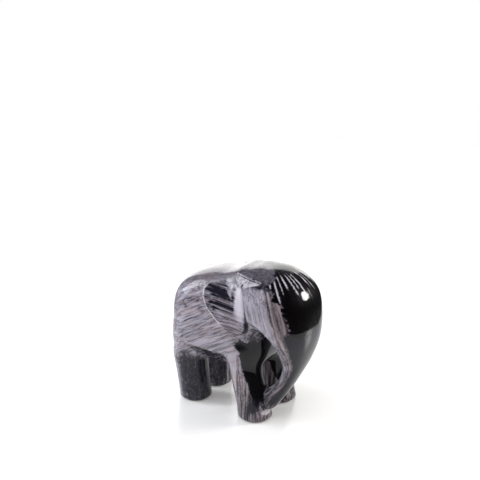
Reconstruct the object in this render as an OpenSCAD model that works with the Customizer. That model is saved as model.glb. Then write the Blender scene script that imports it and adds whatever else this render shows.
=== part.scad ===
// Carved wooden elephant, one block of lacquered wood standing on four felt discs.
// Millimetres. +X is forward (the head), +Y is the elephant's left, +Z is up.
// Origin: middle of the footprint, on the surface it stands on.

/* [Overall] */
// Length from the tail relief to the forehead
overall_length = 98.5; // [82:0.5:118.5]
// Height of the crown of the head
head_top = 98; // [81.5:0.5:118]
// Height of the back behind the ears
back_top = 93.5; // [77.5:0.5:112.5]
// Height of the underside of the belly
belly_height = 31.5; // [26:0.5:38]

/* [Trunk of the body] */
// Widest part of the flanks
flank_width = 57.2; // [48:0.2:69]
// Width of the chest
chest_width = 50; // [42:0.5:60]
// Distance the chest reaches forward of the middle
chest_reach = 23; // [18:0.5:26]

/* [Head] */
// Width over the cheeks
head_width = 52; // [44:0.5:62]
// Height of the middle of the forehead
brow_height = 62; // [54:0.5:68]
// Depth of the head from the neck to the forehead
head_depth = 52; // [44:0.5:58]

/* [Trunk] */
// Fore and aft thickness half way down
trunk_depth = 11.5; // [9.5:0.1:14]
// Width half way down
trunk_width = 27; // [22:0.2:32]
// Width of the tip
trunk_tip_width = 13.6; // [11:0.1:16]
// Sideways swing of the tip, to the right
trunk_tip_swing = 11; // [8.5:0.1:13.5]

/* [Legs] */
// Distance from the hind feet to the front feet
wheelbase = 48.2; // [40:0.2:58]
// Distance between the middles of the front feet
front_stance = 30.8; // [25.6:0.2:37]
// Distance between the middles of the hind feet
hind_stance = 24.8; // [22.6:0.2:30]
// Diameter of a front foot
front_foot_d = 22; // [18.3:0.1:26.5]
// Diameter of a hind foot
hind_foot_d = 20.8; // [17.5:0.1:22]

/* [Ears, eyes and tail] */
// Length of an ear, fore and aft
ear_length = 31.8; // [26:0.2:38.2]
// Drop of an ear from its top to its lobe
ear_drop = 32; // [27:0.5:38]
// How far the ears stand out from the body
ear_relief = 2.2; // [1.4:0.1:3]
// Depth of the facet cut for each eye
eye_depth = 0.9; // [0.5:0.1:1.4]
// How far the carved tail stands out from the rump
tail_relief = 1.0; // [0.5:0.1:1.5]
// Width of the carved tail at its root
tail_width = 6; // [4.5:0.1:7.5]

/* [Felt discs] */
// Thickness of each disc
pad_thickness = 1; // [0.6:0.1:2]
// Width of the bare rim of sole around each disc
pad_inset = 1; // [0.5:0.1:2]

/* [Hidden] */

x_tail = -overall_length / 2;
x_rump = x_tail + tail_relief;
x_brow = overall_length / 2;
x_chest = chest_reach;
x_hind = x_rump + 15.9;
x_fore = x_hind + wheelbase;
sole = pad_thickness;

body_mid = (back_top + belly_height) / 2 - 4.75;
body_up = back_top - body_mid;
body_down = body_mid - belly_height;

// ---- smooth interpolation through hand-set stations ----
function seg_of(xs, x, i = 0) = (i >= len(xs) - 2 || x < xs[i + 1]) ? i : seg_of(xs, x, i + 1);
function rise(xs, ys, i) = (ys[i + 1] - ys[i]) / (xs[i + 1] - xs[i]);
function slope_at(xs, ys, i) =
    i == 0 ? rise(xs, ys, 0)
    : i == len(xs) - 1 ? rise(xs, ys, i - 1)
    : (rise(xs, ys, i - 1) * (xs[i + 1] - xs[i]) + rise(xs, ys, i) * (xs[i] - xs[i - 1]))
      / (xs[i + 1] - xs[i - 1]);
function curve(xs, ys, x) =
    let (i = seg_of(xs, x), h = xs[i + 1] - xs[i], t = max(0, min(1, (x - xs[i]) / h)))
    (2*t*t*t - 3*t*t + 1) * ys[i] + (t*t*t - 2*t*t + t) * h * slope_at(xs, ys, i)
    + (3*t*t - 2*t*t*t) * ys[i + 1] + (t*t*t - t*t) * h * slope_at(xs, ys, i + 1);
function squarish(a, n) = 1 / pow(pow(abs(cos(a)), n) + pow(abs(sin(a)), n), 1 / n);

// ---- skin over a list of rings, closed by an apex or a flat face at each end ----
module skin(rings, first = undef, last = undef) {
    k = len(rings[0]);
    m = len(rings);
    ends = [if (first != undef) first, if (last != undef) last];
    pts = [for (r = rings) for (p = r) p, each ends];
    a = k * m;
    b = k * m + (first == undef ? 0 : 1);
    sides = [for (i = [0 : m - 2]) for (j = [0 : k - 1])
        let (p = i * k + j, q = i * k + (j + 1) % k)
        each [[p, q, q + k], [p, q + k, p + k]]];
    low = first == undef ? [[for (j = [k - 1 : -1 : 0]) j]]
        : [for (j = [0 : k - 1]) [a, (j + 1) % k, j]];
    high = last == undef ? [[for (j = [0 : k - 1]) (m - 1) * k + j]]
        : [for (j = [0 : k - 1]) [b, (m - 1) * k + j, (m - 1) * k + (j + 1) % k]];
    polyhedron(points = pts, faces = [for (f = [each sides, each low, each high])
        [for (j = [len(f) - 1 : -1 : 0]) f[j]]], convexity = 6);
}

// ---- barrel of the body, lofted along X ----
barrel_s = [0, 0.13, 0.27, 0.40, 0.56, 0.80, 1];
barrel_t = [0.74, 0.82, 0.885, 0.93, 0.975, 1, 1];
barrel_b = [0.89, 0.98, 1, 1, 1, 1, 1];
function half_width(u) = let (f = flank_width / 2, c = chest_width / 2) curve(barrel_s,
    [0.945*f, f, f, 0.965*f, 0.35*f + 0.65*c, 0.1*f + 0.9*c, c], u);
function roof(u) = curve(barrel_s, barrel_t, u) * body_up;
function keel(u) = curve(barrel_s, barrel_b, u) * body_down;
// end rounding: fuller at the chest and low on the haunches than high on the rump
function ends(u, a) = let (s = 2*u - 1, m = s > 0 ? 4.5 : 3.2 + 1.3 * max(0, -sin(a)))
    pow(max(0, 1 - pow(abs(s), m)), 1 / m);
function barrel_ring(u, k = 52) =
    let (x = x_rump + u * (x_chest - x_rump), w = half_width(u), t = roof(u), d = keel(u))
    [for (j = [0 : k - 1]) let (a = 360 * j / k, q = ends(u, a) * squarish(a, sin(a) > 0 ? 3 : 4))
        [x, w * q * cos(a), body_mid + (sin(a) > 0 ? t : d) * q * sin(a)]];
module barrel() {
    us = [for (i = [1 : 31]) (1 - cos(180 * i / 32)) / 2];
    skin([for (u = us) barrel_ring(u)], [x_rump, 0, body_mid], [x_chest, 0, body_mid]);
}
// middle line of the rump at a height above body_mid
function rump_u(v, n) = n == 0 ? 0.1
    : (1 - pow(max(0, 1 - pow(min(1, v / roof(rump_u(v, n - 1))), 3.2)), 1 / 3.2)) / 2;
function rump_line(z) = x_rump + (x_chest - x_rump) * (z > body_mid ? rump_u(z - body_mid, 5) : 0);

// ---- head and trunk, lofted along Z ----
// heights, then distances behind the forehead, for the sizes above as they stand
zk = brow_height / 62;
ht_z = [5, 8, 12, 16, 21, 28, 37, 43, 49, 56, 62, 66, 69, 82, 98] * zk;
front_back = [22.5, 20.5, 18, 15.5, 12.8, 9.4, 5.4, 3.2, 1.4, 0.2, 0, 0.1, 0.2, 1.4, 8];
// the tip grows into the right front foot, so it follows that foot when the foot moves
tip_shift = x_fore - (x_brow - 33.4);
function lean(z) = tip_shift * curve(ht_z, [1, 1, 1, 0.9, 0.7, 0.4, 0.1, 0, 0, 0, 0, 0, 0, 0, 0], z);
function front_x(z) = x_brow - curve(ht_z, front_back, z) + lean(z);
function back_x(z) = let (d = trunk_depth, w = head_depth, f = x_brow) lean(z) + curve(ht_z,
    [f - 33.5, f - 33.5, f - 32.5, f - 30.3, f - 24.5, f - 18.7, f - d - 4.7, f - d - 4.9,
     f - d - 5.8, f - 0.2*w - 9.4, f - 0.4*w - 5.7, f - 0.7*w + 1, f - w + 6, f - w, f - w], z);
function side_y(z) = let (t = trunk_width/2, p = trunk_tip_width/2, h = head_width/2) curve(ht_z,
    [p - 0.3, p + 0.2, p + 0.7, p + 1.2, 0.8*p + 0.2*t + 0.7, 0.5*p + 0.5*t + 0.2, t,
     0.8*t + 0.2*h + 0.2, 0.55*t + 0.45*h, 0.27*t + 0.73*h, 0.1*t + 0.9*h, 0.04*t + 0.96*h,
     h - 0.2, h, h - 1], z);
function swing_y(z) = -trunk_tip_swing * curve(ht_z,
    [1.045, 1, 0.91, 0.77, 0.59, 0.345, 0.09, 0.035, 0, 0, 0, 0, 0, 0, 0], z);
function widest_x(z) = let (f = x_brow) lean(z) + curve(ht_z,
    [f - 27.5, f - 26.5, f - 25.5, f - 23.5, f - 19.5, f - 15.5, f - 12.5, f - 12.5, f - 13.5,
     f - 15.5, f - 17.5, f - 18.5, f - 19.5, f - 23.5, f - 31], z);
crown = 68 * zk;
function crown_r(z) = z <= crown ? 1
    : pow(max(0, 1 - pow((z - crown) / (head_top - crown), 2.7)), 1 / 2.7);
function head_ring(z, sc = 1, k = 48) =
    let (c = widest_x(z), f = front_x(z) - c, b = c - back_x(z), w = side_y(z), y0 = swing_y(z),
         r = crown_r(z) * sc)
    [for (j = [0 : k - 1]) let (a = 360 * j / k, fwd = cos(a) > 0, q = r * squarish(a, fwd ? 2.3 : 4))
        [c + (fwd ? f : b) * q * cos(a), y0 + w * q * sin(a), z]];
module head_and_trunk() {
    low = 6.5 * zk;
    zs = [for (z = [9.5 : 2.5 : 67]) z * zk];
    tops = [for (i = [0 : 10]) crown + (head_top - crown) * sin(90 * i / 11)];
    skin([head_ring(low, 0.55), head_ring(low + 0.9, 0.84), head_ring(low + 2, 0.96),
          each [for (z = zs) head_ring(z)], each [for (z = tops) head_ring(z)]],
         undef, [widest_x(head_top), 0, head_top]);
}

// ---- legs, lofted along Z from the sole into the shoulder or hip ----
// each station: height, forward shift, outward shift, half length, half width
module leg(x, y, side, stations, k = 34) {
    zs = [for (q = stations) q[0]];
    top = zs[len(zs) - 1];
    at = [each [for (i = [0 : 11]) sole + 0.8 + (top - sole - 0.8) * i / 12], top];
    function ring(z, sc) =
        let (cx = x + curve(zs, [for (q = stations) q[1]], z),
             cy = y + curve(zs, [for (q = stations) q[2]], z),
             rx = curve(zs, [for (q = stations) q[3]], z) * sc,
             ry = curve(zs, [for (q = stations) q[4]], z) * sc)
        [for (j = [0 : k - 1]) let (a = side * 360 * (j + 0.37) / k)
            [cx + rx * squarish(a, 2.1) * cos(a), side * cy + ry * squarish(a, 2.1) * sin(a), z]];
    rings = [for (q = [each [[sole, 0.925], [sole + 0.25, 0.97]], each [for (z = at) [z, 1]],
        [top + 2, 0.8]]) let (r = ring(q[0], q[1])) side > 0 ? r : [for (j = [k - 1 : -1 : 0]) r[j]]];
    skin(rings);
}
bh = belly_height;
module hind_leg(side) {
    r = hind_foot_d / 2;
    leg(x_hind, hind_stance/2, side, [[sole, 0, 0, r, r],
        [0.32*bh, -0.6, 0.3, r + 0.2, r + 0.1], [0.67*bh, -1.6, 1.0, r + 0.6, r + 0.4],
        [bh + 4.5, -2, flank_width/2 - 3 - hind_stance/2 - r - 1.2, r + 1.4, r + 1.2],
        [bh + 16, 0.4, flank_width/2 - 4.5 - hind_stance/2 - r - 1.2, r + 1.6, r + 1.2],
        [bh + 27, 3, flank_width/2 - 8 - hind_stance/2 - r, r - 1, r - 1]]);
}
module fore_leg(side) {
    r = front_foot_d / 2;
    leg(x_fore, front_stance/2, side, [[sole, 0, 0, r, r],
        [0.32*bh, -1.6, 0, r - 0.6, r - 0.3], [0.67*bh, -4.8, -0.2, r - 1, r - 0.2],
        [bh + 4.5, -7.8, chest_width/2 + 0.3 - front_stance/2 - r - 0.2, r - 0.8, r + 0.2],
        [bh + 16, -9, chest_width/2 - 1.7 - front_stance/2 - r, r, r],
        [bh + 27, -9, chest_width/2 - 6 - front_stance/2 - r, r - 2, r - 1]]);
}

// ---- ears: raised outline on a skin a little outside the barrel ----
ear_back = x_brow - 66.4;
ear_top = back_top - 2.5;
function smooth_loop(p, k = 4) = let (n = len(p)) [for (i = [0 : n - 1]) for (q = [0 : k - 1])
    let (t = q / k, a = p[(i + n - 1) % n], b = p[i], c = p[(i + 1) % n], d = p[(i + 2) % n])
    0.5 * (2*b + (c - a)*t + (2*a - 5*b + 4*c - d)*t*t + (3*b - a - 3*c + d)*t*t*t)];
// outline as shares of ear_length and ear_drop, from the back top corner
ear_pts = [[0.19, 0.085], [0.06, 0.13], [0, 0.27], [0.08, 0.50], [0.26, 0.73], [0.47, 0.915],
           [0.70, 1.0], [0.91, 0.985], [1.0, 0.86], [0.995, 0.62], [0.94, 0.34], [0.87, 0.14],
           [0.76, 0.0], [0.46, 0.0]];
function ear_ring(x, k = 52) =
    let (u = (x - x_rump) / (x_chest - x_rump), p = (x - ear_back) / ear_length,
         w = (1 - p) * (half_width(u) + ear_relief) + p * (head_width/2 + 0.5 * ear_relief))
    [for (j = [0 : k - 1]) let (a = 360 * j / k, q = squarish(a, sin(a) > 0 ? 3 : 4))
        [x, w * q * cos(a), body_mid + (sin(a) > 0 ? roof(u) - 0.8 : keel(u)) * q * sin(a)]];
module ear(side) {
    loop = smooth_loop([for (q = ear_pts) [ear_back + q[0]*ear_length, ear_top - q[1]*ear_drop]]);
    // the outline, drawn through from 8 to 45 off the middle plane, keeps its part of the skin
    intersection() {
        rotate([90, 0, 0]) translate([0, 0, side > 0 ? -45 : 8]) linear_extrude(37)
            hull() polygon(loop);
        skin([for (i = [-2 : 9]) ear_ring(ear_back + ear_length * (i + 0.4) / 8)]);
    }
}

// ---- eye: a facet cut high on the side of the head, under a low brow ----
eye_x = x_brow - 36;
eye_z = head_top - 8;
eye_y = side_y(eye_z) * crown_r(eye_z);
eye_out = [-0.05, 0.7, 0.71];
eye_rear = [eye_x - 5, eye_y - 4.8, eye_z + 2.9];
eye_front = [eye_x + 7, eye_y - 2.2, eye_z + 2.0];
eye_low = [eye_x - 3, eye_y + 1.5, eye_z - 1.6];
module bead(p, r) { translate(p) sphere(r = r, $fn = 12); }
module eye_cut(side) {
    clear = 4 * eye_out;
    mirror([0, side < 0 ? 1 : 0, 0]) hull() {
        bead(eye_rear - eye_depth * eye_out, 0.3);
        bead(eye_front - 0.6 * eye_depth * eye_out, 0.3);
        bead(eye_low, 0.3);
        bead(eye_rear + clear, 0.3);
        bead(eye_front + clear, 0.3);
        bead(eye_low + clear, 0.3);
    }
}
module brow(side) {
    above = [0, -1.2, 1.2];
    root = 5 * eye_out;
    mirror([0, side < 0 ? 1 : 0, 0]) hull() {
        bead(eye_rear + above - 0.7 * eye_out, 1.1);
        bead(eye_front + above - 0.7 * eye_out, 1.1);
        bead(eye_rear + above - root, 1.1);
        bead(eye_front + above - root, 1.1);
    }
}

// ---- tail: a raised cord down the rump, ending in a grooved tuft ----
function tail_x(z) = rump_line(body_mid + z);
module tail(k = 20) {
    depth = 2.4;
    w = tail_width / 2;
    zs = [-13.2, -12, -9.5, -6, -2, 3, 9, 15, 20, 24, 26.5];
    ws = [0.45, 0.75, 0.9, 0.8, 0.58, 0.6, 0.72, 0.85, 0.95, 1, 0.9];
    outs = [0.3, 0.85, 1, 1, 0.95, 0.95, 0.9, 0.85, 0.75, 0.4, 0.05];
    skin([for (i = [0 : len(zs) - 1])
        let (c = tail_x(zs[i]) - outs[i] * tail_relief + depth)
        [for (j = [0 : k - 1]) let (a = 360 * j / k)
            [c + depth * cos(a), ws[i] * w * sin(a), body_mid + zs[i]]]]);
    // the two halves of the tuft
    proud = tail_relief - 0.75;
    for (q = [-0.55, 0.55]) hull() {
        bead([tail_x(-6) - proud, q * w * 0.7, body_mid - 6.3], 0.6);
        bead([tail_x(-11) - proud, q * w * 0.9, body_mid - 11.5], 0.7);
    }
}

module carved_body() {
    color([0.36, 0.34, 0.37]) difference() {
        union() {
            barrel();
            head_and_trunk();
            for (side = [-1, 1]) {
                hind_leg(side);
                fore_leg(side);
                ear(side);
                brow(side);
            }
            tail();
        }
        for (side = [-1, 1]) eye_cut(side);
    }
}

// a felt disc sits inside the flat of a sole, whose edge is rounded by edge_loss
edge_loss = 0.8;
module pad(x, y, d) {
    color([0.06, 0.06, 0.065]) translate([x, y, 0])
        cylinder(h = pad_thickness, d = d - 2 * (pad_inset + edge_loss), $fn = 64);
}
module foot_pad_front_left() { pad(x_fore, front_stance/2, front_foot_d); }
module foot_pad_front_right() { pad(x_fore, -front_stance/2, front_foot_d); }
module foot_pad_rear_left() { pad(x_hind, hind_stance/2, hind_foot_d); }
module foot_pad_rear_right() { pad(x_hind, -hind_stance/2, hind_foot_d); }

carved_body();
foot_pad_front_left();
foot_pad_front_right();
foot_pad_rear_left();
foot_pad_rear_right();
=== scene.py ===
"""Looks for the carved wooden elephant: one lacquered carving on four felt discs, on a pale table."""
import math

import bpy
import numpy as np
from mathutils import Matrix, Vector


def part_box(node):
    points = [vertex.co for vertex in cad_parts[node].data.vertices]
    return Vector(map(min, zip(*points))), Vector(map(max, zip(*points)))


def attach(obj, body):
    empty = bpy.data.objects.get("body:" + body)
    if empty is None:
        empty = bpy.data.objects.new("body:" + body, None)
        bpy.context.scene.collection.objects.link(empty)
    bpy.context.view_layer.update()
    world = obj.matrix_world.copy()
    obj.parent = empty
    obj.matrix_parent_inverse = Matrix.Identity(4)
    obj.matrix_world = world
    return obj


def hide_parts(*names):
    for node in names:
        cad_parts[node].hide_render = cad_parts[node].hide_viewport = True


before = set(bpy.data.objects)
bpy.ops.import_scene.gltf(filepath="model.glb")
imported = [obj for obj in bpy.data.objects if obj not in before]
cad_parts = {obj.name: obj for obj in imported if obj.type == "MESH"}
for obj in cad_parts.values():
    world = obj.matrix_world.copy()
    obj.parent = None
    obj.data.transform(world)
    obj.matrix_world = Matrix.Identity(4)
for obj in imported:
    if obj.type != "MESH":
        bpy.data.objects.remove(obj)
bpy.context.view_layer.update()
MM = 0.001

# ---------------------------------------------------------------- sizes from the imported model, in mm
_lo, _hi = (np.array(v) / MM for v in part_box("carved_body"))
X_TAIL, X_BROW, HEAD_TOP, SOLE = _lo[0], _hi[0], _hi[2], _lo[2]
_fore = [np.array(v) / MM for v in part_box("foot_pad_front_left")]
_hind = [np.array(v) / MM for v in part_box("foot_pad_rear_left")]
RIM = 1.8    # bare rim of a sole outside its disc
X_FORE, FORE_Y = ((_fore[0] + _fore[1]) / 2)[:2]
X_HIND, HIND_Y = ((_hind[0] + _hind[1]) / 2)[:2]
FORE_R = (_fore[1][0] - _fore[0][0]) / 2 + RIM
HIND_R = (_hind[1][0] - _hind[0][0]) / 2 + RIM


# ---------------------------------------------------------------- shape of the carving
# Everything here is in millimetres in the frame of the CAD part: +X to the head, +Z up.
def spline(xs, ys, x):
    """A smooth curve through the stations (xs rising), held at its ends."""
    xs, ys = np.asarray(xs, float), np.asarray(ys, float)
    x = np.clip(x, xs[0], xs[-1])
    gap = np.diff(xs)
    rise = np.diff(ys) / gap
    between = (rise[:-1] * gap[1:] + rise[1:] * gap[:-1]) / (xs[2:] - xs[:-2])
    slope = np.concatenate(([rise[0]], between, [rise[-1]]))
    i = np.clip(np.searchsorted(xs, x, side="right") - 1, 0, len(xs) - 2)
    h = gap[i]
    t = (x - xs[i]) / h
    return ((2 * t**3 - 3 * t**2 + 1) * ys[i] + (t**3 - 2 * t**2 + t) * h * slope[i]
            + (3 * t**2 - 2 * t**3) * ys[i + 1] + (t**3 - t**2) * h * slope[i + 1])


def smooth_min(a, b, k):
    """The lower of two distances, rounded where they are within k of each other."""
    h = np.clip(0.5 + 0.5 * (b - a) / k, 0, 1)
    return b * (1 - h) + a * h - k * h * (1 - h)


def smooth_max(a, b, k):
    """The higher of two distances, rounded where they are within k of each other."""
    return -smooth_min(-a, -b, k)


def ramp(a, b, x):
    """0 below a, 1 above b, smooth between; works downwards too when a > b."""
    t = np.clip((x - a) / (b - a), 0, 1)
    return t * t * (3 - 2 * t)


def as_distance(field, h):
    """Turns a shape function into roughly a distance, by its own slope."""
    gx, gy, gz = np.gradient(field, h)
    slope = np.sqrt(gx * gx + gy * gy + gz * gz)
    return field / np.maximum(slope, 0.25 * np.median(slope) + 1e-9)


# the sizes of the CAD part
BELLY_Z, BACK_Z = 31.5, 93.5
FLANK_W, CHEST_W, HEAD_W = 57.2, 50.0, 52.0
CHEST_X, HEAD_DEPTH = 23.0, 52.0
TRUNK_DEPTH, TRUNK_W, TIP_W, TIP_SWING = 11.5, 27.0, 13.6, 11.0
EAR_LENGTH, EAR_DROP, EAR_RELIEF = 31.8, 32.0, 2.2
TAIL_RELIEF = 1.0
X_RUMP = X_TAIL + TAIL_RELIEF
BODY_MID = (BACK_Z + BELLY_Z) / 2 - 4.75
BODY_UP, BODY_DOWN = BACK_Z - BODY_MID, BODY_MID - BELLY_Z

# the barrel's top, underside and half width by share of its length, from the rump to the chest
BARREL_S = [0, 0.13, 0.27, 0.40, 0.56, 0.80, 1]
BARREL_TOP = [0.74, 0.82, 0.885, 0.93, 0.975, 1, 1]
BARREL_LOW = [0.89, 0.98, 1, 1, 1, 1, 1]
_f, _c = FLANK_W / 2, CHEST_W / 2
BARREL_HALF = [0.945 * _f, _f, _f, 0.965 * _f, 0.35 * _f + 0.65 * _c, 0.1 * _f + 0.9 * _c, _c]


def barrel_section(X, Y, Z, half):
    """Share of the way out to the section's edge, with its two parts and which half it is in."""
    u = np.clip((X - X_RUMP) / (CHEST_X - X_RUMP), 0, 1)
    y = np.abs(Y) / half
    v = Z - BODY_MID
    up = v > 0
    roof = spline(BARREL_S, BARREL_TOP, u) * BODY_UP
    floor = spline(BARREL_S, BARREL_LOW, u) * BODY_DOWN
    v = np.where(up, v / roof, -v / floor)
    n = np.where(up, 3.0, 4.0)
    return y, v, up, (y**n + v**n + 1e-12) ** (1 / n)


def barrel(X, Y, Z):
    """The body from rump to chest, with rounded ends."""
    u = np.clip((X - X_RUMP) / (CHEST_X - X_RUMP), 0, 1)
    s = 2 * (X - X_RUMP) / (CHEST_X - X_RUMP) - 1
    y, v, up, q = barrel_section(X, Y, Z, spline(BARREL_S, BARREL_HALF, u))
    m = np.where(s > 0, 4.5, 3.2 + 1.3 * np.where(up, 0, v / (np.hypot(y, v) + 1e-9)))
    return (q**m + np.abs(s) ** m) ** (1 / m) - 1


# head and trunk, by height: distance of the front behind the forehead, back, widest place, half width, swing
HEAD_Z = [5, 8, 12, 16, 21, 28, 37, 43, 49, 56, 62, 66, 69, 82, 98]
FRONT = [22.5, 20.5, 18, 15.5, 12.8, 9.4, 5.4, 3.2, 1.4, 0.2, 0, 0.1, 0.2, 1.4, 8]
BACK = [33.5, 33.5, 32.5, 30.3, 24.5, 18.7, TRUNK_DEPTH + 4.7, TRUNK_DEPTH + 4.9, TRUNK_DEPTH + 5.8,
        0.2 * HEAD_DEPTH + 9.4, 0.4 * HEAD_DEPTH + 5.7, 0.7 * HEAD_DEPTH - 1, HEAD_DEPTH - 6, HEAD_DEPTH,
        HEAD_DEPTH]
WIDEST = [27.5, 26.5, 25.5, 23.5, 19.5, 15.5, 12.5, 12.5, 13.5, 15.5, 17.5, 18.5, 19.5, 23.5, 31]
_t, _p, _h = TRUNK_W / 2, TIP_W / 2, HEAD_W / 2
HEAD_HALF = [_p - 0.3, _p + 0.2, _p + 0.7, _p + 1.2, 0.8 * _p + 0.2 * _t + 0.7, 0.5 * _p + 0.5 * _t + 0.2, _t,
             0.8 * _t + 0.2 * _h + 0.2, 0.55 * _t + 0.45 * _h, 0.27 * _t + 0.73 * _h, 0.1 * _t + 0.9 * _h,
             0.04 * _t + 0.96 * _h, _h - 0.2, _h, _h - 1]
SWING = [1.045, 1, 0.91, 0.77, 0.59, 0.345, 0.09, 0.035, 0, 0, 0, 0, 0, 0, 0]
CROWN_Z = 68.0    # the head starts to round over to its top here


def head_trunk(X, Y, Z):
    """The head with the trunk below it, one loft by height."""
    front = X_BROW - spline(HEAD_Z, FRONT, Z)
    back = X_BROW - spline(HEAD_Z, BACK, Z)
    mid = X_BROW - spline(HEAD_Z, WIDEST, Z)
    half = spline(HEAD_Z, HEAD_HALF, Z)
    swing = -TIP_SWING * spline(HEAD_Z, SWING, Z)
    ahead = X > mid
    n = np.where(ahead, 2.3, 4.0)
    depth = np.where(ahead, front - mid, mid - back)
    r = ((np.abs(X - mid) / depth) ** n + (np.abs(Y - swing) / half) ** n + 1e-12) ** (1 / n)
    s = np.clip((Z - CROWN_Z) / (HEAD_TOP - CROWN_Z), 0, None)
    return (r**2.7 + s**2.7) ** (1 / 2.7) - 1


def leg(X, Y, Z, stations, x0, y0):
    """A lofted leg; stations are height, forward, outward, half length, half width."""
    zs, fwd, out, rx, ry = np.array(stations).T
    cx, cy = x0 + spline(zs, fwd, Z), y0 + spline(zs, out, Z)
    rx, ry = spline(zs, rx, Z), spline(zs, ry, Z)
    r = ((np.abs(X - cx) / rx) ** 2.1 + (np.abs(Y - cy) / ry) ** 2.1) ** (1 / 2.1)
    return (r - 1) * np.minimum(rx, ry)


def hind_stations():
    """Stations of a hind leg, from its sole up into the flank."""
    r, b, o = HIND_R, BELLY_Z, FLANK_W / 2 - HIND_Y
    return [(SOLE, 0, 0, r, r), (0.32 * b, -0.6, 0.3, r + 0.2, r + 0.1),
            (0.67 * b, -1.6, 1.0, r + 0.6, r + 0.4), (b + 4.5, -2, o - r - 4.2, r + 1.4, r + 1.2),
            (b + 16, 0.4, o - r - 5.7, r + 1.6, r + 1.2), (b + 27, 3, o - r - 8, r - 1, r - 1)]


def fore_stations():
    """Stations of a front leg, from its sole up into the chest."""
    r, b, o = FORE_R, BELLY_Z, CHEST_W / 2 - FORE_Y
    return [(SOLE, 0, 0, r, r), (0.32 * b, -1.6, 0, r - 0.6, r - 0.3), (0.67 * b, -4.8, -0.2, r - 1, r - 0.2),
            (b + 4.5, -7.8, o - r + 0.1, r - 0.8, r + 0.2), (b + 16, -9, o - r - 1.7, r, r),
            (b + 27, -9, o - r - 6, r - 2, r - 1)]


# outline of an ear as shares of its length and drop, from its back top corner
EAR_POINTS = [(0.19, 0.085), (0.06, 0.13), (0, 0.27), (0.08, 0.50), (0.26, 0.73), (0.47, 0.915), (0.70, 1.0),
              (0.91, 0.985), (1.0, 0.86), (0.995, 0.62), (0.94, 0.34), (0.87, 0.14), (0.76, 0.0), (0.46, 0.0)]
EAR_BACK, EAR_TOP = X_BROW - 66.4, BACK_Z - 2.5


def smooth_loop(points, steps=8):
    """A closed smooth curve through the points, as a finer loop of points."""
    p = np.asarray(points, float)
    out = []
    for i in range(len(p)):
        a, b, c, d = p[i - 1], p[i], p[(i + 1) % len(p)], p[(i + 2) % len(p)]
        square, cube = 2 * a - 5 * b + 4 * c - d, 3 * b - a - 3 * c + d
        for t in np.arange(steps) / steps:
            out.append(0.5 * (2 * b + (c - a) * t + square * t * t + cube * t**3))
    return np.array(out)


def to_segments(px, pz, X, Z, closed):
    """Distance in the side view from a line of points, and whether a place is inside a closed one."""
    best = np.full(X.shape, 1e9)
    inside = np.zeros(X.shape, bool)
    n = len(px)
    for i in range(n if closed else n - 1):
        ax, az, bx, bz = px[i], pz[i], px[(i + 1) % n], pz[(i + 1) % n]
        ex, ez = bx - ax, bz - az
        t = np.clip(((X - ax) * ex + (Z - az) * ez) / (ex * ex + ez * ez), 0, 1)
        best = np.minimum(best, np.hypot(X - ax - t * ex, Z - az - t * ez))
        if closed and az != bz:
            inside ^= ((az > Z) != (bz > Z)) & (X < ax + (Z - az) / (bz - az) * ex)
    return best, inside


EAR_LOOP = smooth_loop([(EAR_BACK + a * EAR_LENGTH, EAR_TOP - b * EAR_DROP) for a, b in EAR_POINTS])


def ear_outline(X, Z):
    """Distance from the ear's outline in the side view, negative inside it."""
    dist, inside = to_segments(EAR_LOOP[:, 0], EAR_LOOP[:, 1], X, Z, True)
    return np.where(inside, -dist, dist)


def ear_skin(X, Y, Z):
    """The outer face of the ears: a barrel a little wider than the body and the head."""
    u = np.clip((X - X_RUMP) / (CHEST_X - X_RUMP), 0, 1)
    p = (X - EAR_BACK) / EAR_LENGTH
    half = (1 - p) * (spline(BARREL_S, BARREL_HALF, u) + EAR_RELIEF) + p * (HEAD_W / 2 + 0.5 * EAR_RELIEF)
    return barrel_section(X, Y, Z, half)[3] - 1


# the tail by height over the body's middle: half width, and how far it stands out as a share of its relief
TAIL_Z = [-13.2, -12, -9.5, -6, -2, 3, 9, 15, 20, 24, 26.5]
TAIL_HALF = [1.35, 2.25, 2.7, 2.4, 1.74, 1.8, 2.16, 2.55, 2.85, 3.0, 2.7]
TAIL_OUT = [0.3, 0.85, 1, 1, 0.95, 0.95, 0.9, 0.85, 0.75, 0.4, 0.05]
TAIL_CORD = 2.4    # half thickness of the cord, most of it inside the rump


def tail(X, Y, Z):
    """A raised cord down the middle of the rump, ending in a grooved tuft."""
    v = Z - BODY_MID
    u = np.full(Z.shape, 0.1)
    for _ in range(5):
        roof = spline(BARREL_S, BARREL_TOP, u) * BODY_UP
        u = np.where(v > 0, (1 - np.maximum(0, 1 - np.clip(v / roof, 0, 1) ** 3.2) ** (1 / 3.2)) / 2, 0)
    half = spline(TAIL_Z, TAIL_HALF, v)
    middle = X_RUMP + (CHEST_X - X_RUMP) * u - spline(TAIL_Z, TAIL_OUT, v) * TAIL_RELIEF + TAIL_CORD
    f = (np.sqrt(((X - middle) / TAIL_CORD) ** 2 + (Y / half) ** 2) - 1) * np.minimum(half, TAIL_CORD)
    f = f + 0.16 * np.cos(Y * 5.2) * ramp(-4.5, -8, v)
    return smooth_max(f, np.abs(v - 6.6) - 19.6, 0.8)


FAR_OUT = 9.0    # distance given to a place where a piece of the shape cannot be


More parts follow.
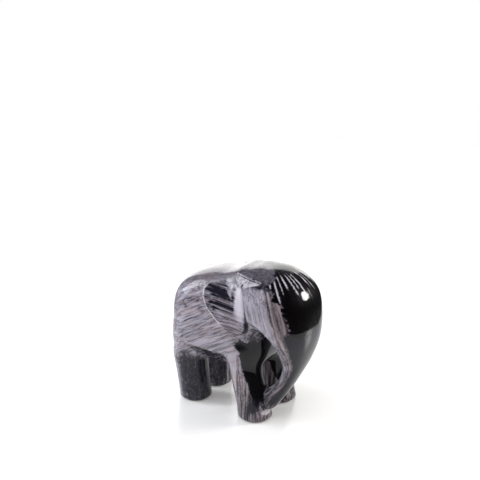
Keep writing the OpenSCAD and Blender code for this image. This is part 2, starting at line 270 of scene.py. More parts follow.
def build_field(ax, h):
    """Distance to the carving's surface on the grid, and how far each region's surface lies over the rest."""
    X, Y, Z = np.meshgrid(*ax, indexing="ij")
    aY = np.abs(Y)
    body = as_distance(barrel(X, Y, Z), h)
    # a knife facet along the lower edge of each flank
    body = smooth_max(body, 0.78 * (aY - 25.4) + 0.62 * (42.3 - Z), 0.8)
    head = as_distance(head_trunk(X, Y, Z), h)
    head = smooth_max(head, 6.5 - Z, 3.0)
    saddle = ramp(84, 91, Z) * ramp(21, 12, aY) * ramp(10, 0, X)
    joined = smooth_min(body, head, 4.0 + 4.0 * ramp(78, 90, Z) + 5.0 * saddle)
    hip = BELLY_Z + 27
    hind = smooth_max(leg(X, aY, Z, hind_stations(), X_HIND, HIND_Y), Z - hip, 4)
    fore = smooth_max(leg(X, aY, Z, fore_stations(), X_FORE, FORE_Y), Z - hip, 4)
    d = smooth_min(joined, hind, 3.5)
    d = smooth_min(d, fore, 2.0 + 3.0 * ramp(11, 24, Z))
    outline = ear_outline(X[:, 0, :], Z[:, 0, :])[:, None, :]
    outline = np.broadcast_to(outline, X.shape)
    skin = as_distance(ear_skin(X, Y, Z), h)
    # the ear's face is dished behind a low rounded rim
    skin = skin + 0.8 * ramp(-1.2, -7.5, outline) * ramp(2.0, 9.0, EAR_TOP - Z)
    ear = np.where(aY > 8, smooth_max(skin, outline, 0.9), FAR_OUT)
    base = d
    d = smooth_min(d, ear, 0.5)
    d = smooth_min(d, np.where(X < 0, tail(X, Y, Z), FAR_OUT), 0.7)
    d = carve(d, X, Y, Z, aY)
    d = smooth_max(d, SOLE - Z, 0.6)
    d = smooth_max(d, X_TAIL - X, 0.3)
    d = smooth_max(d, Z - HEAD_TOP, 0.3)
    gaps = {"ear": base - ear, "head": np.minimum(body, np.minimum(hind, fore)) - head,
            "hind": np.minimum(joined, fore) - hind, "fore": np.minimum(joined, hind) - fore}
    return d, gaps


def polyline_depth(X, Z, points, width):
    """1 on a line drawn in the side view, falling to 0 over its width."""
    px, pz = np.array(points, float).T
    return np.exp(-(to_segments(px, pz, X, Z, False)[0] / width) ** 2)


# front edge of an ear where it meets the cheek, top to lobe, as x and z
EAR_SEAM = [(9.6, 89.5), (10.2, 87), (11.2, 84), (12.3, 81), (13.4, 77), (14.2, 73), (14.8, 69), (14.6, 65.5)]
# the left eye: a facet under a straight brow line, as ends of that line and its outward normal
EYE_A, EYE_B = np.array([1.5, 13.9, 92.6]), np.array([22.0, 18.9, 92.2])
EYE_OUT = np.array([-0.05, 0.70, 0.71])
# how far below that line the facet reaches, by share along it
EYE_SHARE, EYE_DROP = [0, 0.15, 0.42, 0.8, 1], [0.6, 3.6, 6.6, 3.3, 0.4]


def eye_facet(X, aY, Z):
    """1 at the eye, the distance below its brow line, and how far below it the facet reaches there."""
    along = EYE_B - EYE_A
    length = np.linalg.norm(along)
    e = along / length
    out = EYE_OUT - EYE_OUT.dot(e) * e
    out /= np.linalg.norm(out)
    down = np.cross(out, e)
    down *= np.sign(down[1] - down[2])
    x, y, z = X - EYE_A[0], aY - EYE_A[1], Z - EYE_A[2]
    s = (x * e[0] + y * e[1] + z * e[2]) / length
    sc = np.clip(s, 0, 1)
    t = x * down[0] + y * down[1] + z * down[2] - 0.6 * np.sin(np.pi * sc)
    off = x * out[0] + y * out[1] + z * out[2]
    near = ramp(-0.02, 0.05, s) * ramp(1.0, 0.93, s) * ramp(9, 6, np.abs(off))
    return near, t, spline(EYE_SHARE, EYE_DROP, sc)


def carve(d, X, Y, Z, aY):
    """Knife work on the blank: ear seam, eye facet and brow, and the slow waves left by sanding."""
    near, t, drop = eye_facet(X, aY, Z)
    d = d + 0.95 * near * ramp(-0.3, 0.35, t) * np.clip(1 - t / drop, 0, 1)
    d = d - 0.15 * near * np.exp(-((t + 1.2) / 1.0) ** 2)
    seam = polyline_depth(X[:, 0, :], Z[:, 0, :], EAR_SEAM, 0.55)[:, None, :]
    d = d + 0.32 * seam * (aY > 12)
    waves = np.sin(X * 0.31 + Z * 0.17 + 1.0) + np.sin(Z * 0.37 - Y * 0.23 + 2.2)
    waves += np.sin(Y * 0.41 + X * 0.19)
    return d + 0.02 * waves


# ---------------------------------------------------------------- surface of a field as a mesh
def surface_net(d, ax):
    """One vertex per crossed cell, at the mean of its edge crossings, joined by quads."""
    h = ax[0][1] - ax[0][0]
    inside = d < 0
    cells = tuple(n - 1 for n in d.shape)
    total, count = np.zeros(cells + (3,)), np.zeros(cells)
    crossings = []
    for axis in range(3):
        lo, hi = [slice(None)] * 3, [slice(None)] * 3
        lo[axis], hi[axis] = slice(0, -1), slice(1, None)
        a, b = d[tuple(lo)], d[tuple(hi)]
        crossed = inside[tuple(lo)] != inside[tuple(hi)]
        at = np.argwhere(crossed)
        point = at.astype(float)
        point[:, axis] += a[crossed] / (a[crossed] - b[crossed])
        others = [(axis + 1) % 3, (axis + 2) % 3]
        for da in (0, -1):
            for db in (0, -1):
                cell = at.copy()
                cell[:, others[0]] += da
                cell[:, others[1]] += db
                np.add.at(total, tuple(cell.T), point)
                np.add.at(count, tuple(cell.T), 1)
        crossings.append((at, others, inside[tuple(lo)][crossed]))
    used = count > 0
    number = np.full(cells, -1)
    number[used] = np.arange(used.sum())
    verts = total[used] / count[used][:, None] * h + np.array([a[0] for a in ax])
    quads = []
    for at, others, outward in crossings:
        corners = []
        for da, db in ((0, 0), (-1, 0), (-1, -1), (0, -1)):
            cell = at.copy()
            cell[:, others[0]] += da
            cell[:, others[1]] += db
            corners.append(number[tuple(cell.T)])
        quad = np.stack(corners, 1)
        quad[~outward] = quad[~outward][:, ::-1]
        quads.append(quad)
    return verts, np.concatenate(quads)


def sample(grid, ax, p):
    """The grid's value at each point, straight between its nodes."""
    h = ax[0][1] - ax[0][0]
    q = (p - np.array([a[0] for a in ax])) / h
    i = np.clip(np.floor(q).astype(int), 0, np.array(grid.shape) - 2)
    x, y, z = (q - i).T
    out = np.zeros(len(p))
    for a in (0, 1):
        for b in (0, 1):
            for c in (0, 1):
                share = (x if a else 1 - x) * (y if b else 1 - y) * (z if c else 1 - z)
                out += share * grid[i[:, 0] + a, i[:, 1] + b, i[:, 2] + c]
    return out


# ---------------------------------------------------------------- paint, one value per vertex
NOISE_LENGTH = 4096
OTHER_SIDE = 37.0     # shift of the noise that gives the left side strokes of its own


def noise(seed, u, v=None):
    """Smooth noise from 0 to 1 over one or two coordinates."""
    table = np.random.default_rng(seed).random(NOISE_LENGTH)
    v = np.zeros_like(u) if v is None else v
    i, j = np.floor(u).astype(int), np.floor(v).astype(int)
    fu, fv = u - i, v - j
    fu, fv = fu * fu * (3 - 2 * fu), fv * fv * (3 - 2 * fv)

    def at(a, b):
        return table[(a * 73 + b * 911) % NOISE_LENGTH]

    near = at(i, j) * (1 - fu) + at(i + 1, j) * fu
    far = at(i, j + 1) * (1 - fu) + at(i + 1, j + 1) * fu
    return near * (1 - fv) + far * fv


def uneven(seed, u, v=None):
    """The same noise, from -0.5 to 0.5."""
    return noise(seed, u, v) - 0.5


def lay(under, over, share):
    """One value laid over another where its share is 1."""
    return under * (1 - share) + over * share


def spot(x, z, middle, size):
    """A soft round or oval spot in the side view, 1 in its middle."""
    return np.exp(-(((x - middle[0]) / size[0]) ** 2 + ((z - middle[1]) / size[1]) ** 2))


def line(distance, width):
    """A soft line, 1 where the distance is 0."""
    return np.exp(-(distance / width) ** 2)


def stroke(x, z, a, b, width):
    """A brush stroke in the side view from a to b, full in the middle and thin at its ends."""
    (ax, az), (bx, bz) = a, b
    ex, ez = bx - ax, bz - az
    length2 = ex * ex + ez * ez
    t = ((x - ax) * ex + (z - az) * ez) / length2
    dist = np.abs((x - ax) * ez - (z - az) * ex) / math.sqrt(length2)
    wobble = 0.75 + 0.5 * noise(31, t * 9 + ax, np.full_like(z, az))
    body = ramp(-0.04, 0.1, t) * ramp(1.03, 0.94, t)
    return body * ramp(1.15, 0.5, dist / (width * wobble * 0.5))


# dark strokes on an ear: both ends as x and z, and the brush's width; one under 1 mm is faint
EAR_STROKES = [((-13, 87.4), (2.0, 86.2), 1.1), ((-15.5, 85.6), (4.8, 82.9), 1.7),
               ((-15, 83.6), (6.0, 80.9), 1.9), ((-11.5, 80.8), (5.0, 79.2), 1.1),
               ((-11.5, 76.6), (6.6, 74.2), 3.0), ((-8.6, 73.4), (-4.2, 73.0), 1.1),
               ((-9.5, 79.0), (3.0, 77.6), 0.8), ((-6.5, 69.2), (13.5, 67.2), 0.8),
               ((-14, 89.0), (0.5, 88.6), 0.8)]
# side edge of the forehead's black patch: height, and degrees from the front of the head
BLACK_EDGE_Z = [58, 60, 62, 69, 75, 83, 85, 87, 89.3, 91, 93.5, 97.5]
BLACK_EDGE = [42, 47, 56, 58, 61, 64, 72, 70, 65, 76, 62, 50]
# its lower edge: degrees from the front, and height
BLACK_LOW_AT, BLACK_LOW = [0, 28, 46, 57], [64.4, 61.9, 60.2, 61.6]
# where the painted shade on the front of a front leg turns into its brushed side: height, and forward share
# of the normal
FRONT_SHADE_Z, FRONT_SHADE_TURN = [8, 15, 21, 29, 37, 44, 51], [0.80, 0.72, 0.60, 0.52, 0.37, 0.24, 0.12]


class Surface:
    """The surface's points and normals, and how much each belongs to each region of the animal."""

    def __init__(self, p, n, region):
        self.x, self.y, self.z = x, y, z = p.T
        self.nx, _, self.nz = n.T
        self.ay = np.abs(y)
        self.side = np.where(y < 0, 0.0, OTHER_SIDE)
        self.away_from_hind = ramp(0.2, -0.3, region["hind"])
        self.outline = ear_outline(x, z)
        ear = ramp(-0.15, 0.25, region["ear"])
        front_of_ear = ramp(0.3, -0.3, self.outline) * ramp(2, 5, x) * ramp(89, 87, z) * (self.ay > 12)
        self.ear = np.maximum(ear, front_of_ear)
        self.head = ramp(-1.5, 1.0, region["head"])
        ragged = z + 5 * uneven(3, x * 0.5 + self.side, z * 0.3)
        self.hind = ramp(-2.5, 1.0, region["hind"]) * ramp(39, 31, ragged)
        self.fore = ramp(-2.0, 0.8, region["fore"]) * ramp(60, 50, z)
        # place round the head and trunk in degrees, 0 in front
        self.from_mid = x - (X_BROW - spline(HEAD_Z, WIDEST, z))
        self.swing = -TIP_SWING * spline(HEAD_Z, SWING, z)
        self.theta = np.degrees(np.arctan2(np.abs(y - self.swing), self.from_mid))


def forehead_black(s):
    """A black patch on the forehead, with a ragged edge."""
    edge = spline(BLACK_EDGE_Z, BLACK_EDGE, s.z)
    low = spline(BLACK_LOW_AT, BLACK_LOW, s.theta)
    teeth = 6.5 * uneven(5, s.z * 0.9 + s.side, s.theta * 0.05) + 5 * uneven(6, s.z * 2.3 + s.side)
    black = ramp(1.5, -1.5, s.theta - edge - teeth)
    black *= ramp(-0.5, 0.5, s.z - low - 2.6 * uneven(7, s.theta * 0.35 + s.side)) * s.head
    blots = ramp(0.25, 0.5, noise(8, s.x * 0.5, s.z * 0.35) - 0.35)
    by_the_edge = ramp(8, 0, np.abs(s.theta - edge)) * ramp(82, 86, s.z) * ramp(93, 90, s.z)
    return np.maximum(black, s.head * blots * by_the_edge)


def forehead_hairs(s, black):
    """Silver hairs that run down the black from the crown, and thin purple ones between them."""
    around = s.theta + s.side * 3
    wave = np.sin(around * 0.62 + 3.5 * noise(21, around * 0.12))
    hair = 0.5 + 0.5 * wave + 0.5 * uneven(22, around * 0.9, s.z * 0.12)
    reach = 92.5 - 10 * noise(23, around * 0.16)
    hairs = ramp(0.50, 0.85, hair) * ramp(-3, 3, s.z - reach) * ramp(99, 94, s.z) * black
    thin_reach = 76 + 14 * noise(25, around * 0.3)
    thin = ramp(0.62, 0.80, noise(24, around * 0.7)) * ramp(-4, 8, s.z - thin_reach) * black
    return hairs, thin


def body_silver(s):
    """Silver left on the body: less on the back as a painted dark reflection, less on the belly and the facet
    under the flank as painted shade, and less on a few knots.
    """
    x, z = s.x, s.z
    # less silver high on the back towards the rear: a painted dark reflection
    silver = 0.62 - 0.10 * ramp(78, 86, z) * ramp(-20, -8, x) + 0.10 * uneven(9, x * 0.09 + s.side, z * 0.12)
    # painted shade on the belly's downward faces
    silver -= 0.26 * ramp(0.5, 0.85, -s.nz) * ramp(46, 40, z)
    silver -= 0.34 * spot(x, z, (-29.1, 70), (1.3, 1.3)) + 0.3 * spot(x, z, (-17.5, 69), (2.2, 2.6))
    # painted shade on the downward facet under the flank
    facet = ramp(0.28, 0.5, -s.nz) * ramp(43.5, 41.5, z) * (1 - s.hind) * (1 - s.fore) * (x < 10)
    return silver - 0.38 * facet


def head_zones(s):
    """Shares of the cheek, the smooth front, the inner side of the trunk and the top of the head."""
    cheek = ramp(80, 84, s.theta + 3 * uneven(13, s.z * 0.3 + s.side)) * ramp(56, 60, s.z)
    smooth_front = ramp(73, 66, s.theta) * ramp(66, 61, s.z) * ramp(9, 14, s.z)
    inner = ramp(100, 128, s.theta) * ramp(62, 56, s.z)
    top = ramp(87.5, 90.5, s.z) * ramp(0.45, 0.6, s.nz)
    return cheek, smooth_front, inner, top


def head_silver(s, cheek, smooth_front, inner, top):
    """Striped by the cheek, with almost no silver in front, lighter inside the trunk's loop as a painted
    highlight, darker under the jaw as painted shade.
    """
    z, theta = s.z, s.theta
    stripes = 0.44 - 0.12 * ramp(60, 40, z) + 0.6 * uneven(12, theta * 0.32 + s.side, z * 0.02)
    on_cheek = 0.68 - 0.12 * (noise(11, s.x * 0.35 + s.side, z * 0.2) - 0.3)
    silver = lay(stripes, on_cheek, cheek)
    silver = lay(silver, 0.02 - 0.06 * uneven(14, theta * 0.15, z * 0.06), smooth_front)
    # painted highlight: lighter silver inside the trunk's loop
    silver = lay(silver, 0.34 + 0.5 * ramp(0.45, 0.6, noise(26, z * 0.16, theta * 0.05)), inner)
    silver = lay(silver, 0.12, top)
    # painted shade on the downward faces under the jaw
    jaw = ramp(0.35, 0.7, -s.nz) * ramp(50, 54, z) * ramp(70, 66, z)
    return silver - 0.3 * jaw


def hind_silver(s):
    """Dark and mottled outside, lighter behind and along the sole, and lighter on the inner side as a painted
    reflection of the table.
    """
    phi = np.degrees(np.arctan2(s.ay - HIND_Y, s.x - X_HIND))
    # lighter on the inner side: a painted reflection of the table
    behind = ramp(98, 128, np.abs(phi)) + 0.55 * ramp(-30, -70, phi)
    return 0.05 + 0.52 * np.clip(behind, 0, 1) + 0.10 * ramp(9, 2, s.z)


def fore_silver(s):
    """Light and brushed lengthwise, darker towards the foot."""
    return 0.68 - 0.34 * ramp(34, 10, s.z) + 0.34 * uneven(17, (s.x + s.ay) * 0.55 + s.side, s.z * 0.03)


def bare_front(s):
    """Painted shade: black on the front of the front legs and the chest, between the jaw and the trunk's tip,
    where the trunk shades them.
    """
    turn = spline(FRONT_SHADE_Z, FRONT_SHADE_TURN, s.z) + 0.10 * uneven(15, s.z * 0.8 + s.side)
    upper = ramp(56, 53.5, s.z + 2.5 * noise(16, s.x * 0.6 + s.side))
    bare = ramp(-0.07, 0.07, s.nx - turn) * ramp(12.5, 17, s.z) * upper
    return bare * (1 - s.head) * ramp(3, 6, s.x) * s.away_from_hind


def ear_paint(s):
    """Silver of an ear, with painted shade along its seam and its lobe's edge, a bright front band and a
    painted highlight on its bright rear rim.
    """
    x, z = s.x, s.z
    # painted shade: dark lines along the lobe's edge and in the seam where the ear meets the cheek
    lobe = line(s.outline - 0.2, 0.45) * ramp(72, 66, z) * ramp(-6, 2, x)
    seam = np.maximum(0.75 * polyline_depth(x, z, EAR_SEAM, 0.42), lobe) * (s.ay > 12)
    band = ramp(4.6, 8.6, x - 0.05 * (80 - z)) * ramp(65, 77, z) * ramp(92, 86, z)
    # painted highlight along the ear's rear rim
    rim = line(s.outline + 0.5, 0.55) * ramp(2, -4, x)
    strokes = np.zeros_like(x)
    for a, b, width in EAR_STROKES:
        strokes = np.maximum(strokes, stroke(x, z, a, b, width) * (0.45 if width < 1 else 1.0))
    silver = 0.40 + 0.10 * ramp(74, 70, z) - 0.10 * ramp(84, 87, z) + 0.75 * band
    silver += 0.34 * rim - 0.46 * strokes * (1 - band) * (1 - rim)
    return silver, seam, band, rim


def paint(p, n, region):
    """Every paint attribute of the surface, one value or vector per vertex."""
    s = Surface(p, n, region)
    x, y, z, head, hind, fore, ear, side = s.x, s.y, s.z, s.head, s.hind, s.fore, s.ear, s.side
    black = forehead_black(s)
    cheek, smooth_front, inner, top = head_zones(s)
    silver = lay(body_silver(s), head_silver(s, cheek, smooth_front, inner, top), head)
    silver = lay(silver, hind_silver(s), hind)
    silver = lay(silver, fore_silver(s), fore)
    # painted shade: black on the fronts of the front legs and the chest, where the trunk shades them
    bare = bare_front(s)
    silver = lay(silver, 0.04, bare)
    # painted shade on the front of the neck, under the head
    neck = ramp(0.25, 0.6, s.nx) * ramp(50, 54, z) * ramp(70, 65, z) * (1 - head)
    silver -= 0.42 * neck * ramp(8, 14, x)
    # low in front: painted shade in a dark notch beside the trunk's tip, and a painted highlight of bright
    # silver where the tip meets the foot
    silver -= 0.6 * spot(x, z, (20.0, 10.0), (2.6, 3.6)) * ramp(-20, -22.5, y) * (x > 15)
    tip = ramp(1.15, 0.75, np.hypot((y + 17.5) / 4.2, (z - 6.4) / 1.9)) * ramp(22.5, 24.5, x)
    silver = lay(silver, 0.80 + 0.5 * uneven(28, y * 1.3, z * 1.3), tip)

    on_ear, seam, band, rim = ear_paint(s)
    silver = lay(silver, on_ear, ear)

    # the eye's facet keeps bright silver with painted highlights on it, a painted highlight runs along the
    # brow ridge, and the brow line is a thin dark cut of painted shade
    near, t, drop = eye_facet(x, s.ay, z)
    eye = near * ramp(-0.2, 0.4, t) * ramp(0.6, -0.2, t - drop) * ramp(-0.2, 0.3, s.nz)
    silver = lay(silver, 0.66 + 0.25 * uneven(18, x * 1.4, z * 1.4), eye)
    # painted highlight along the brow ridge
    silver += 0.08 * near * line(t + 0.9, 0.55) * (s.nz > 0)
    # painted shade darkening the brow cut
    cut = 0.7 * near * line(t - 0.15, 0.30) * (s.nz > 0)

    hairs, thin = forehead_hairs(s, black)
    silver = lay(silver, 0.02, black) + 0.95 * hairs + 0.34 * thin * (1 - hairs)
    crest = ramp(0.55, 0.85, s.nz) * ramp(70, 80, z) * (1 - eye)
    silver = lay(silver, 0.42 - 0.10 * head, crest * (1 - black))

    warm = 0.55 * ramp(0.35, 0.75, noise(27, x * 0.12 + side, z * 0.35)) * (1 - head) * (1 - hind)
    warm += thin * (1 - hairs) + (1 - black) * head * ramp(90, 76, s.theta) * (1 - top) * ramp(92, 84, z)
    warm += 0.55 * fore * ramp(45, 20, z)
    streaky = (1 - 0.75 * crest) * (1 - 0.6 * hind) * (1 - 0.35 * head * (1 - cheek))
    streaky *= 1 - 0.80 * smooth_front * head - 0.20 * cheek * head * (1 - top)
    speck = 0.30 + 1.5 * hind + 0.6 * fore + 0.25 * head * (1 - smooth_front) + 0.6 * eye
    vertical = np.clip(np.maximum(np.maximum(head * (1 - top * 0.8), hind), fore), 0, 1) * (1 - ear)
    # bright silver: the ear's front band and the forehead's hairs are their own colour; the ear's rim, the
    # trunk's tip and the eye's facet get painted highlights
    bright = (0.2 + 0.6 * noise(29, x * 0.9, z * 0.14)) * band * ear * (1 - seam) + 0.7 * rim * ear
    bright = np.clip(bright + 0.45 * tip + 0.35 * eye + 0.35 * hairs, 0, 1)
    # painted highlight: patches of bright silver inside the trunk's loop
    in_the_loop = 0.6 * inner * head * ramp(0.5, 0.6, noise(26, z * 0.16, s.theta * 0.05))

    # streak coordinates: rising to the head on the body, almost level on the ears, down the limb elsewhere
    rise = np.where(ear > 0.5, math.radians(-7), math.radians(29))
    level = np.stack([x * np.cos(rise) + z * np.sin(rise), y + side, z * np.cos(rise) - x * np.sin(rise)], 1)
    limb = hind + fore > 0.5
    down = np.stack([z, np.where(limb, x, s.from_mid), np.where(limb, y, y - s.swing) + side], 1)
    # dark is painted shade in the ear seams, along the lobes and in the brow cuts
    # the last entry holds the forehead's black patch and the painted shade on the front legs and chest
    return {"silver": silver, "warm": np.clip(warm, 0, 1), "dark": np.clip(seam * 0.7 + cut * 0.7, 0, 1),
            "speck": np.clip(speck, 0, 2), "vertical": vertical, "streaky": streaky,
            "bright": np.maximum(bright, in_the_loop), "facet": eye, "level": level, "down": down,
            "bare": np.clip(black + 0.85 * bare, 0, 1) * (1 - np.maximum(hairs, 0.7 * thin))}


# ---------------------------------------------------------------- materials
def new_material(name):
    """An empty material with one Principled shader, and its node tree."""
    material = bpy.data.materials.new(name)
    material.use_nodes = True
    tree = material.node_tree
    tree.nodes.clear()
    out = tree.nodes.new("ShaderNodeOutputMaterial")
    shader = tree.nodes.new("ShaderNodeBsdfPrincipled")
    tree.links.new(shader.outputs["BSDF"], out.inputs["Surface"])
    return material, tree, shader


class Graph:
    """Short calls for building a node tree."""

    def __init__(self, tree):
        self.tree = tree

    def node(self, kind, inputs=(), **settings):
        node = self.tree.nodes.new(kind)
        for key, value in settings.items():
            setattr(node, key, value)
        for key, value in dict(inputs).items():
            if isinstance(value, bpy.types.NodeSocket):
                self.tree.links.new(value, node.inputs[key])
            else:
                node.inputs[key].default_value = value
        return node

    def attribute(self, name, output="Fac"):
        return self.node("ShaderNodeAttribute", attribute_name=name).outputs[output]

    def math(self, operation, a, b=0.0, c=0.0):
        return self.node("ShaderNodeMath", {0: a, 1: b, 2: c}, operation=operation).outputs[0]

    def ramp(self, value, low, high):
        inputs = {"Value": value, "From Min": low, "From Max": high, "To Min": 0.0, "To Max": 1.0}
        return self.node("ShaderNodeMapRange", inputs, interpolation_type="SMOOTHSTEP").outputs["Result"]

    def mix(self, factor, a, b):
        inputs = {"Factor": factor, "A": a, "B": b}
        return self.node("ShaderNodeMix", inputs, data_type="FLOAT").outputs["Result"]

    def color(self, factor, a, b):
        node = self.tree.nodes.new("ShaderNodeMix")
        node.data_type = "RGBA"
        for socket, value in ((node.inputs[0], factor), (node.inputs[6], a), (node.inputs[7], b)):
            if isinstance(value, bpy.types.NodeSocket):
                self.tree.links.new(value, socket)
            else:
                socket.default_value = value
        return node.outputs[2]

    def noise(self, vector, scale, detail=3.0, rough=0.55, distortion=0.0):
        inputs = {"Vector": vector, "Scale": scale, "Detail": detail, "Roughness": rough,
                  "Distortion": distortion}
        return self.node("ShaderNodeTexNoise", inputs).outputs["Fac"]

    def stretched(self, vector, factors):
        node = self.node("ShaderNodeVectorMath", {0: vector, 1: factors}, operation="MULTIPLY")
        return node.outputs["Vector"]

    def around_zero(self, value, gain):
        """The value less 0.5, times the gain."""
        return self.math("MULTIPLY", self.math("SUBTRACT", value, 0.5), gain)

    def bump(self, height):
        """A normal bent by a height in metres."""
        inputs = {"Strength": 1.0, "Distance": 1.0, "Height": height}
        return self.node("ShaderNodeBump", inputs).outputs["Normal"]


def streaks(g, coordinates):
    """Hair-fine and broad brush marks along the first coordinate; about 0.5 in the middle."""
    fine = g.noise(g.stretched(coordinates, (0.022, 1.5, 1.5)), 1.0, 3.0, 0.6)
    broad = g.noise(g.stretched(coordinates, (0.012, 0.50, 0.50)), 1.0, 2.0, 0.5)
    lines = g.ramp(g.math("ABSOLUTE", g.math("SUBTRACT", broad, 0.5)), 0.035, 0.005)
    marks = g.math("ADD", g.math("MULTIPLY", fine, 0.60), g.math("MULTIPLY", broad, 0.45))
    return g.math("SUBTRACT", marks, g.math("MULTIPLY", lines, 0.10))


# the bright silver also paints highlights
SILVER, WARM_SILVER, BRIGHT_SILVER = (0.47, 0.435, 0.515, 1), (0.43, 0.355, 0.385, 1), (0.88, 0.86, 0.93, 1)
# the second colour is for the forehead's black patch and for painted shade on the fronts of the front legs
# and the chest
STAIN, BLACK_AND_PAINTED_SHADE = (0.011, 0.010, 0.019, 1), (0.0022, 0.0014, 0.0018, 1)


def lacquered_wood():
    """Black stain, silver-grey dry brushing over it and a thick gloss lacquer; the colour also carries
    painted shade and painted highlights.
    """
    material, tree, shader = new_material("lacquered_wood")
    g = Graph(tree)
    level, down = g.attribute("level", "Vector"), g.attribute("down", "Vector")
    mark = g.mix(g.attribute("vertical"), streaks(g, level), streaks(g, down))
    grain = g.noise(level, 1.9, 5.0, 0.7)
    blotch = g.noise(level, 0.55, 4.0, 0.6)
    # coverage of silver: its amount, broken up by brush marks and by the grain
    brushed = g.math("MULTIPLY", g.around_zero(mark, 2.3), g.attribute("streaky"))
    cover = g.math("ADD", g.attribute("silver"), brushed)
    mottle = g.math("ADD", g.math("MULTIPLY", grain, 0.6), g.math("MULTIPLY", blotch, 0.4))
    cover = g.math("ADD", cover, g.math("MULTIPLY", g.around_zero(mottle, 1.5), g.attribute("speck")))
    # painted shade in the ear seams, along the ear lobes and in the brow cuts
    cover = g.math("SUBTRACT", cover, g.attribute("dark"))
    # less silver on the forehead's black patch and on the painted shade of the front legs and chest
    cover = g.math("SUBTRACT", cover, g.math("MULTIPLY", g.attribute("bare"), 0.9))
    amount = g.ramp(cover, 0.08, 0.98)
    silver = g.color(g.attribute("warm"), SILVER, WARM_SILVER)
    # bright silver: partly the carving's own, partly painted highlights
    silver = g.color(g.attribute("bright"), silver, BRIGHT_SILVER)
    # the darkest black, for the forehead's patch and for the painted shade on the front legs and chest
    stain = g.color(g.attribute("bare"), STAIN, BLACK_AND_PAINTED_SHADE)
    base = g.color(amount, stain, silver)
    tree.links.new(base, shader.inputs["Base Color"])
    shader.inputs["Roughness"].default_value = 0.42
    shader.inputs["Specular IOR Level"].default_value = 0.04
    shader.inputs["Coat Weight"].default_value = 1.0
    shader.inputs["Coat Roughness"].default_value = 0.035
    shader.inputs["Coat IOR"].default_value = 1.40
    # relief under the lacquer, in metres: brush marks, and the chipped facet of the eye
    chips = g.node("ShaderNodeTexVoronoi", {"Vector": level, "Scale": 0.9}, feature="F1").outputs["Distance"]
    chip_height = g.math("MULTIPLY", g.math("MULTIPLY", chips, g.attribute("facet")), 0.0005)
    marks = g.around_zero(mark, 0.00022)
    tree.links.new(g.bump(g.math("ADD", marks, chip_height)), shader.inputs["Normal"])
    softened = g.math("ADD", g.math("MULTIPLY", marks, 0.16), chip_height)
    tree.links.new(g.bump(softened), shader.inputs["Coat Normal"])
    return material


def felt_material():
    """Black felt, matted and slightly fuzzy."""
    material, tree, shader = new_material("felt")
    g = Graph(tree)
    place = g.node("ShaderNodeTexCoord").outputs["Object"]
    fibres = g.noise(g.stretched(place, (900, 900, 2200)), 1.0, 5.0, 0.7, 1.5)
    clumps = g.noise(place, 260.0, 3.0)
    shade = g.math("ADD", g.math("MULTIPLY", fibres, 0.6), g.math("MULTIPLY", clumps, 0.4))
    color = g.color(g.ramp(shade, 0.35, 0.7), (0.004, 0.004, 0.005, 1), (0.022, 0.021, 0.024, 1))
    tree.links.new(color, shader.inputs["Base Color"])
    shader.inputs["Roughness"].default_value = 0.95
    shader.inputs["Sheen Weight"].default_value = 0.35
    tree.links.new(g.bump(g.math("MULTIPLY", fibres, 0.00025)), shader.inputs["Normal"])
    return material


# ---------------------------------------------------------------- table, light and camera
AIM = Vector((0, 0, 0.05))    # the lights point at the middle of the carving, in metres
NEAR_TABLE, SHINE_REACH, SHINE_BEARING, FAR_TABLE = 0.19, 0.60, math.radians(124), 0.85


def toward(azimuth, elevation):
    """Direction to a place seen from the carving, angles in radians, as the frame's views count them."""
    return Vector((math.sin(azimuth) * math.cos(elevation), -math.cos(azimuth) * math.cos(elevation),
                   math.sin(elevation)))


def flat_piece(name, corners, material):
    """One flat polygon that is only scenery."""
    mesh = bpy.data.meshes.new(name)
    mesh.from_pydata(corners, [], [tuple(range(len(corners)))])
    piece = bpy.data.objects.new(name, mesh)
    bpy.context.scene.collection.objects.link(piece)
    piece.data.materials.append(material)
    return piece


def softbox(name, azimuth, elevation, distance, width, height, radiance, tint, disc=False):
    """An area light aimed at the carving, its direction in degrees."""
    light = bpy.data.lights.new(name, "AREA")
    light.shape = "ELLIPSE" if disc else "RECTANGLE"
    light.size, light.size_y = width, height
    area = width * height * (math.pi / 4 if disc else 1)
    light.energy = radiance * math.pi * area
    light.color = tint
    holder = bpy.data.objects.new(name, light)
    bpy.context.scene.collection.objects.link(holder)
    holder.location = toward(math.radians(azimuth), math.radians(elevation)) * distance + AIM
    holder.rotation_euler = (AIM - holder.location).to_track_quat("-Z", "Y").to_euler()
    holder.visible_camera = False
    return holder


def build_table():
    """A pale table: a shiny part that reaches far only behind the carving, and a dull part beyond."""
    material, _, shader = new_material("table")
    shader.inputs["Base Color"].default_value = (0.86, 0.86, 0.865, 1)
    shader.inputs["Roughness"].default_value = 0.22
    shader.inputs["Emission Color"].default_value = (1.0, 0.985, 0.97, 1)
    shader.inputs["Emission Strength"].default_value = 0.17
    ring = []
    for bearing in range(0, 360, 6):
        a = math.radians(bearing)
        reach = NEAR_TABLE + SHINE_REACH * max(0.0, math.cos(a - SHINE_BEARING)) ** 12
        ring.append((reach * math.cos(a), reach * math.sin(a), 0.0))
    flat_piece("table", ring, material)
    turns = [math.radians(bearing) for bearing in range(0, 360, 10)]
    far = [(FAR_TABLE * math.cos(a), FAR_TABLE * math.sin(a), -0.0002) for a in turns]
    outer = flat_piece("table_far", far, material)
    outer.visible_glossy = False


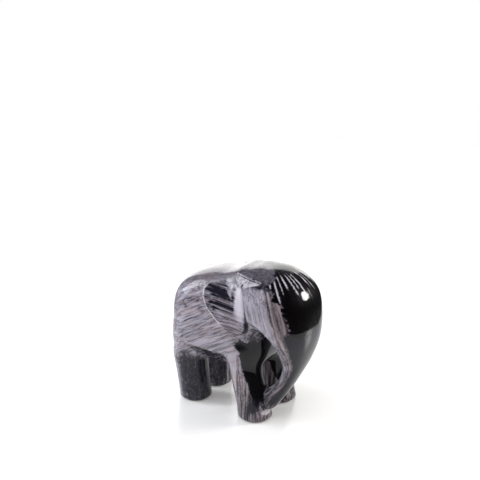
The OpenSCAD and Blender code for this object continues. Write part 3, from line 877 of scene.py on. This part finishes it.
def build_world():
    """White to the camera, and a dim blue light on everything else."""
    world = bpy.data.worlds.new("studio")
    bpy.context.scene.world = world
    world.use_nodes = True
    tree = world.node_tree
    tree.nodes.clear()
    out = tree.nodes.new("ShaderNodeOutputWorld")
    seen = tree.nodes.new("ShaderNodeBackground")
    lit = tree.nodes.new("ShaderNodeBackground")
    mixed = tree.nodes.new("ShaderNodeMixShader")
    seen.inputs["Color"].default_value = (1, 1, 1, 1)
    lit.inputs["Color"].default_value = (0.80, 0.86, 1.0, 1)
    lit.inputs["Strength"].default_value = 0.03
    path = tree.nodes.new("ShaderNodeLightPath")
    tree.links.new(path.outputs["Is Camera Ray"], mixed.inputs[0])
    tree.links.new(lit.outputs[0], mixed.inputs[1])
    tree.links.new(seen.outputs[0], mixed.inputs[2])
    tree.links.new(mixed.outputs[0], out.inputs["Surface"])


def build_lights():
    """Each light's azimuth, elevation, distance, width, height, radiance and tint."""
    backdrop = softbox("backdrop", 211, 17, 1.2, 1.2, 0.90, 2.6, (1.0, 0.99, 0.97))
    backdrop.visible_diffuse = False
    softbox("window", 291, 30, 0.9, 0.45, 0.60, 6.5, (0.90, 0.94, 1.0))
    softbox("lamp", 133, 23, 0.8, 0.26, 0.26, 26.0, (1.0, 0.98, 0.95), disc=True)
    for diffuse_only in (softbox("overhead", 0, 86, 1.0, 1.1, 1.1, 1.7, (1.0, 0.99, 0.97)),
                         softbox("front_fill", 345, 30, 1.0, 0.9, 0.6, 1.7, (1.0, 0.98, 0.97))):
        diffuse_only.visible_glossy = False


def make_camera():
    """A 36 mm sensor; the frame's middle is above the object, so the optical axis passes over it."""
    camera = bpy.data.cameras.new("camera")
    camera.lens = 69.3
    camera.sensor_width = 36
    camera.clip_start, camera.clip_end = 0.01, 20
    holder = bpy.data.objects.new("camera", camera)
    bpy.context.scene.collection.objects.link(holder)
    holder.location = (0.2906, -0.4658, 0.2900)
    azimuth, tilt = math.radians(31.8 + 0.64), math.radians(24 - 5.94)
    holder.rotation_euler = (-toward(azimuth, tilt)).to_track_quat("-Z", "Y").to_euler()
    bpy.context.scene.camera = holder


def build_stage():
    """Everything round the carving, and how the picture is shown."""
    build_table()
    build_world()
    build_lights()
    bpy.context.scene.view_settings.view_transform = "Standard"
    make_camera()


# ---------------------------------------------------------------- build the carving
STEP, MARGIN = 0.66, 2.2    # grid spacing, and how far the grid reaches past the shape
axes = [np.arange(lo - MARGIN, hi + MARGIN, STEP) for lo, hi in zip(_lo, _hi)]
field, region_gaps = build_field(axes, STEP)
points, quads = surface_net(field, axes)
normals = np.stack([sample(g, axes, points) for g in np.gradient(field, STEP)], 1)
normals /= np.linalg.norm(normals, axis=1)[:, None]


def mesh_piece(name, verts, faces, material):
    """A smooth-shaded mesh object with one material."""
    mesh = bpy.data.meshes.new(name)
    mesh.from_pydata([tuple(v) for v in verts], [], [tuple(f) for f in faces])
    mesh.update()
    mesh.polygons.foreach_set("use_smooth", [True] * len(mesh.polygons))
    piece = bpy.data.objects.new(name, mesh)
    bpy.context.scene.collection.objects.link(piece)
    piece.data.materials.append(material)
    return piece


carving = mesh_piece("carved_elephant", points * MM, quads, lacquered_wood())
region = {name: sample(gap, axes, points) for name, gap in region_gaps.items()}
for name, values in paint(points, normals, region).items():
    vector = values.ndim == 2
    layer = carving.data.attributes.new(name, "FLOAT_VECTOR" if vector else "FLOAT", "POINT")
    layer.data.foreach_set("vector" if vector else "value", np.ascontiguousarray(values, np.float32).ravel())
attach(carving, "root")
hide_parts("carved_body")

felt = felt_material()
for node in ("foot_pad_front_left", "foot_pad_front_right", "foot_pad_rear_left", "foot_pad_rear_right"):
    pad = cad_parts[node]
    pad.data.materials.clear()
    pad.data.materials.append(felt)

build_stage()
